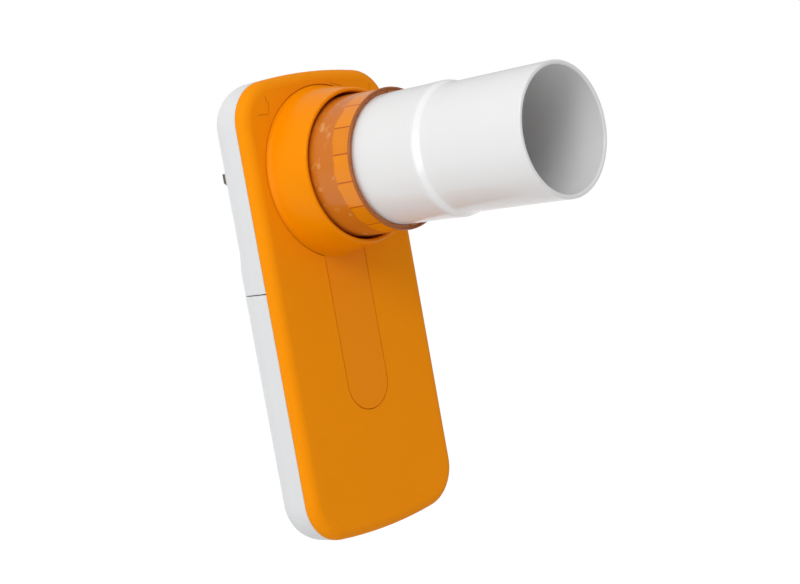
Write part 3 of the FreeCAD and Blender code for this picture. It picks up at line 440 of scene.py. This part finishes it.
def turbineFinish(look):
    amber = amberSettings(roughness=0.16, transmission=0.22, specular=0.3)
    finish = Finish("amberTurbine", look["colour"], amber)
    up = finish.z - look["axisZ"]
    reach = (finish.x * finish.x + up * up).root()
    angle = finish.x.maths("ARCTAN2", up, finish.x)
    pitch = 2 * math.pi / look["segments"]
    share = angle / pitch + look["segments"]
    offLine = abs(share.fraction() - 0.5) * pitch * reach
    line = 1 - finish.between(offLine, look["lineCore"], look["lineWidth"])
    # the painted light on the grip segments begins unevenly, and its strength differs a little from
    # segment to segment
    wander = finish.y + (finish.noise(look["unevenScale"]) - 0.5) * look["uneven"]
    front = 1 - finish.edge(finish.y, look["cupEnd"], look["cupEdge"])
    begun = finish.between(wander, *look["cupStart"])
    paintedLightGrip = (1 - front) * (1 - begun) * finish.between(reach, *look["outer"])
    glowShare = ((share + 0.5).whole() * look["glowTurn"]).sine() * look["glowSpread"] + look["glowMiddle"]
    ring = finish.band(finish.y, *look["ring"], look["ringEdge"])
    # pale blotches in the ring zone are painted glints: reflections in the clear amber painted into the
    # colour
    paintedGlint = finish.between(finish.noise(look["glintScale"], 3.0), *look["glintRange"]) * ring
    base = finish.blend(paintedGlint * look["glintShare"], look["colour"], look["glintColour"])
    # the grip segments are painted bright orange: a painted glow of light through the amber off the white
    # mouthpiece behind
    base = finish.blend(paintedLightGrip * glowShare, base, look["bright"])
    base = finish.blend(paintedLightGrip * line, base, look["line"])
    # the front edge beyond the cup takes a browner amber, painted shade of the edge behind the mouthpiece
    finish.set("Base Color", finish.blend(front, base, look["edge"]))
    finish.bump(finish.noise(look["bumpScale"]), look["bumpDepth"])
    return finish


def vaneFinish(look):
    amber = amberSettings(roughness=0.2, transmission=0.3, specular=0.5)
    finish = Finish("amberVanes", look["colour"], amber)
    cloud = finish.noise(look["vaneScale"])
    finish.set("Base Color", finish.blend(cloud, look["colour"], look["bright"]))
    return finish


turbineFinish(turbineLook).dress("turbine_housing")
vaneFinish(turbineLook).dress("front_straightener", "rear_straightener")
print("turbine dressed")


# Thin bead round the collar's front edge, oval in section, coloured dark brown as painted shade

collarLip = {
    "place": (0.0, -0.02915, 0.0308),
    "radius": 0.01602,
    "bead": 0.0003,
    "stretch": 1.3,
    "around": 144,
    "section": 16,
    "colour": screenColour(174, 98, 44),
    "shades": (0.85, 1.15),
    "cloudScale": 500.0,
}


def makeLip(lip):
    bpy.ops.mesh.primitive_torus_add(
        major_radius=lip["radius"], minor_radius=lip["bead"], location=lip["place"],
        rotation=(math.pi / 2, 0, 0), major_segments=lip["around"], minor_segments=lip["section"])
    bead = bpy.context.object
    bead.name = "collar_lip"
    bpy.ops.object.transform_apply(location=True, rotation=True, scale=True)
    bpy.ops.object.mode_set(mode="EDIT")
    bpy.ops.mesh.select_all(action="SELECT")
    bpy.ops.transform.resize(value=(1, lip["stretch"], 1), center_override=lip["place"])
    bpy.ops.object.mode_set(mode="OBJECT")
    bpy.ops.object.shade_smooth()
    amber = amberSettings(roughness=0.2, transmission=0.15, specular=0.3)
    finish = Finish("amberLip", lip["colour"], amber)
    cloud = finish.noise(lip["cloudScale"])
    finish.set("Base Color", finish.mottled(cloud, lip["colour"], lip["shades"]))
    bead.data.materials.append(finish.material)
    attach(bead, "turbine")
    bead.select_set(False)


makeLip(collarLip)
print("collar lip made")


# Plain inner materials

grainLook = {
    "shades": (0.95, 1.05),
    "roughSpread": 0.1,
    "cloudWidth": 30,                     # in grains
}

metalLook = {
    "shades": (0.93, 1.03),
    "roughSpread": 0.16,
    "brushScale": 1600.0,
    "brushDepth": 0.000004,
}


def grainFinish(name, colour, roughness, scale, depth, settings=None):
    finish = Finish(name, colour, {"Roughness": roughness, **(settings or {})})
    grain = finish.noise(scale, 3.0)
    cloud = finish.noise(scale / grainLook["cloudWidth"])
    finish.set("Base Color", finish.mottled(cloud, colour, grainLook["shades"]))
    finish.set("Roughness", finish.roughness(roughness, grainLook["roughSpread"], grain))
    finish.bump(grain, depth)
    return finish


innerLooks = [
    ("sleeveBrown", screenColour(112, 62, 28), 0.55, 1800.0, 0.00001, ("socket_sleeve",)),
    ("trayGrey", screenColour(158, 159, 162), 0.5, 1500.0, 0.00001, ("battery_tray",)),
    ("rotorFilm", screenColour(38, 38, 40), 0.4, 2500.0, 0.000004, ("rotor_vane",)),
    ("moulding", screenColour(30, 30, 32), 0.5, 4000.0, 0.000006,
     ("microcontroller", "memory_chip", "board_components", "light_emitters", "light_receivers")),
]
for name, colour, roughness, scale, depth, dressed in innerLooks:
    grainFinish(name, colour, roughness, scale, depth).dress(*dressed)


def metalFinish(name, colour, roughness, stretch):
    finish = Finish(name, colour, {"Metallic": 1.0, "Roughness": roughness})
    brushed = finish.noise(metalLook["brushScale"], 3.0, stretch=stretch)
    finish.set("Base Color", finish.mottled(brushed, colour, metalLook["shades"]))
    finish.set("Roughness", finish.roughness(roughness, metalLook["roughSpread"], brushed))
    finish.bump(brushed, metalLook["brushDepth"])
    return finish


nickel = metalFinish("nickelSteel", screenColour(205, 204, 200), 0.3, (1, 1, 0.1))
nickel.dress("bridge_contact", "positive_contact", "negative_contact", "contact_springs", "upper_screws",
             "lower_screws", "rotor_shaft")
metalFinish("tinShield", screenColour(190, 192, 194), 0.38, (0.1, 1, 1)).dress("radio_module")
ruby = grainFinish("rubyCup", screenColour(150, 30, 48), 0.12, 2000.0, 0.000001,
                   {"Specular IOR Level": 0.7})
ruby.dress("front_pivot_cup", "rear_pivot_cup")


# Cells: a printed sleeve between bare metal ends

cellLook = {
    "sleeve": screenColour(58, 66, 78),
    "shades": (0.95, 1.05),
    "stripe": screenColour(214, 148, 60),
    "metal": screenColour(206, 205, 200),
    "roughness": 0.3,
    "roughSpread": 0.08,
    "specular": 0.5,
    "low": -0.0476,
    "plusEnd": -0.0001,
    "stripeBand": (0.0075, 0.0125),       # distances from the plus end
    "stripeEdge": 0.00005,
    "sleeveBand": (0.0021, 0.0438),
    "sleeveEdge": 0.00008,
    "sleeveDepth": 0.00008,
    "cloudScale": 300.0,
}


def cellFinish(look, plusUp):
    finish = Finish("cellUp" if plusUp else "cellDown", look["sleeve"], {
        "Roughness": look["roughness"], "Specular IOR Level": look["specular"]})
    fromPlus = look["plusEnd"] - finish.z if plusUp else finish.z - look["low"]
    stripe = finish.band(fromPlus, *look["stripeBand"], look["stripeEdge"])
    metal = 1 - finish.band(fromPlus, *look["sleeveBand"], look["sleeveEdge"])
    cloud = finish.noise(look["cloudScale"])
    base = finish.mottled(cloud, look["sleeve"], look["shades"])
    base = finish.blend(stripe, base, look["stripe"])
    finish.set("Base Color", finish.blend(metal, base, look["metal"]))
    finish.set("Metallic", metal)
    finish.set("Roughness", finish.roughness(look["roughness"], look["roughSpread"], cloud))
    finish.bump(metal * -1.0, look["sleeveDepth"])
    return finish


cellFinish(cellLook, True).dress("cell_left")
cellFinish(cellLook, False).dress("cell_right")


# Circuit board: green mask over copper tracks

boardLook = {
    "mask": screenColour(18, 92, 52),
    "track": screenColour(34, 120, 66),
    "roughness": 0.3,
    "specular": 0.5,
    "pitch": 0.0016,
    "lanes": 40.0,                        # added so that the lanes count up from a positive number
    "trackBand": (0.35, 0.6),             # shares of a lane
    "trackEdge": 0.04,
    "breakScale": 260.0,
    "breakRange": (0.45, 0.5),
    "trackDepth": 0.00003,
}


def boardFinish(look):
    finish = Finish("boardGreen", look["mask"], {
        "Roughness": look["roughness"], "Specular IOR Level": look["specular"]})
    lane = (finish.x / look["pitch"] + look["lanes"]).fraction()
    breaks = finish.between(finish.noise(look["breakScale"], 0.0), *look["breakRange"])
    tracks = finish.band(lane, *look["trackBand"], look["trackEdge"]) * breaks
    finish.set("Base Color", finish.blend(tracks, look["mask"], look["track"]))
    finish.bump(tracks, look["trackDepth"])
    return finish


boardFinish(boardLook).dress("circuit_board")
print("inner parts dressed")


# White floor well below the held device

plainWhite = (1, 1, 1, 1)

floorLook = {
    "height": -0.19,
    "half": 8.0,
    "colour": (0.74, 0.74, 0.74, 1.0),
    "roughness": 0.9,
    "whiteShare": 0.86,
    "white": 1.1,
}


def lightPathShare(tree, *kinds):         # 1 for rays of one of these kinds
    first, *others = kinds
    path = tree.add("ShaderNodeLightPath", {}, {}, first)
    total = path
    for kind in others:
        total = total + path.other(kind)
    return total.clipped()


def makeFloor(look):
    bpy.ops.mesh.primitive_plane_add(size=look["half"] * 2, location=(0, 0, look["height"]))
    floor = bpy.context.object
    floor.name = "floor"
    bpy.ops.object.transform_apply(location=True)
    finish = Finish("floorWhite", look["colour"], {
        "Roughness": look["roughness"], "Specular IOR Level": 0.0})
    glow = finish.add("ShaderNodeEmission", {}, {"Color": plainWhite, "Strength": look["white"]})
    share = lightPathShare(finish, "Is Camera Ray", "Is Glossy Ray", "Is Transmission Ray")
    lit = Wire(finish, finish.shader.outputs[0])
    both = finish.add("ShaderNodeMixShader", {}, {0: share * look["whiteShare"], 1: lit, 2: glow})
    finish.end(both, "Material Output")
    floor.data.materials.append(finish.material)
    floor.select_set(False)


# Soft studio light: the world, with a little more from the left and from above, and three lamps

worldLook = {
    "ambient": 0.57,
    "more": (-0.08, 0.0, 0.14),
    "seen": 1.0,
}

lamps = {
    "keyLamp": {
        "place": (-0.49, -0.3, 0.35),
        "aim": (0.0, -0.02, 0.0),
        "size": (0.25, 0.25),
        "power": 1.42,
    },
    "stripLamp": {
        "place": (-0.425, 0.039, 0.17),
        "aim": (0.0, -0.048, 0.17),
        "size": (0.034, 0.66),
        "power": 0.37,
    },
    "fillLamp": {
        "place": (0.2, 0.9, 0.2),
        "aim": (0.0, 0.0, 0.0),
        "size": (0.8, 0.8),
        "power": 1.2,
    },
}


def makeWorld(look):
    world = bpy.data.worlds.new("studio")
    scene.world = world
    world.use_nodes = True
    tree = Tree(world.node_tree)
    direction = tree.add("ShaderNodeTexCoord", {}, {}, "Generated")
    slope = tree.add("ShaderNodeVectorMath", {"operation": "DOT_PRODUCT"}, {
        0: direction, 1: look["more"]}, "Value")
    lit = tree.add("ShaderNodeBackground", {}, {"Color": plainWhite, "Strength": slope + look["ambient"]})
    seen = tree.add("ShaderNodeBackground", {}, {"Color": plainWhite, "Strength": look["seen"]})
    share = lightPathShare(tree, "Is Camera Ray", "Is Transmission Ray")
    tree.end(tree.add("ShaderNodeMixShader", {}, {0: share, 1: lit, 2: seen}), "World Output")


def makeLamp(name, lamp):
    data = bpy.data.lights.new(name, "AREA")
    data.shape = "RECTANGLE"
    data.size, data.size_y = lamp["size"]
    data.energy = lamp["power"]
    made = bpy.data.objects.new(name, data)
    scene.collection.objects.link(made)
    made.location = lamp["place"]
    made.rotation_mode = "QUATERNION"
    made.rotation_quaternion = (Vector(lamp["aim"]) - Vector(lamp["place"])).to_track_quat("-Z", "Y")


makeFloor(floorLook)
makeWorld(worldLook)
for name, lamp in lamps.items():
    makeLamp(name, lamp)
scene.view_settings.view_transform = "Standard"
print("floor and light made")
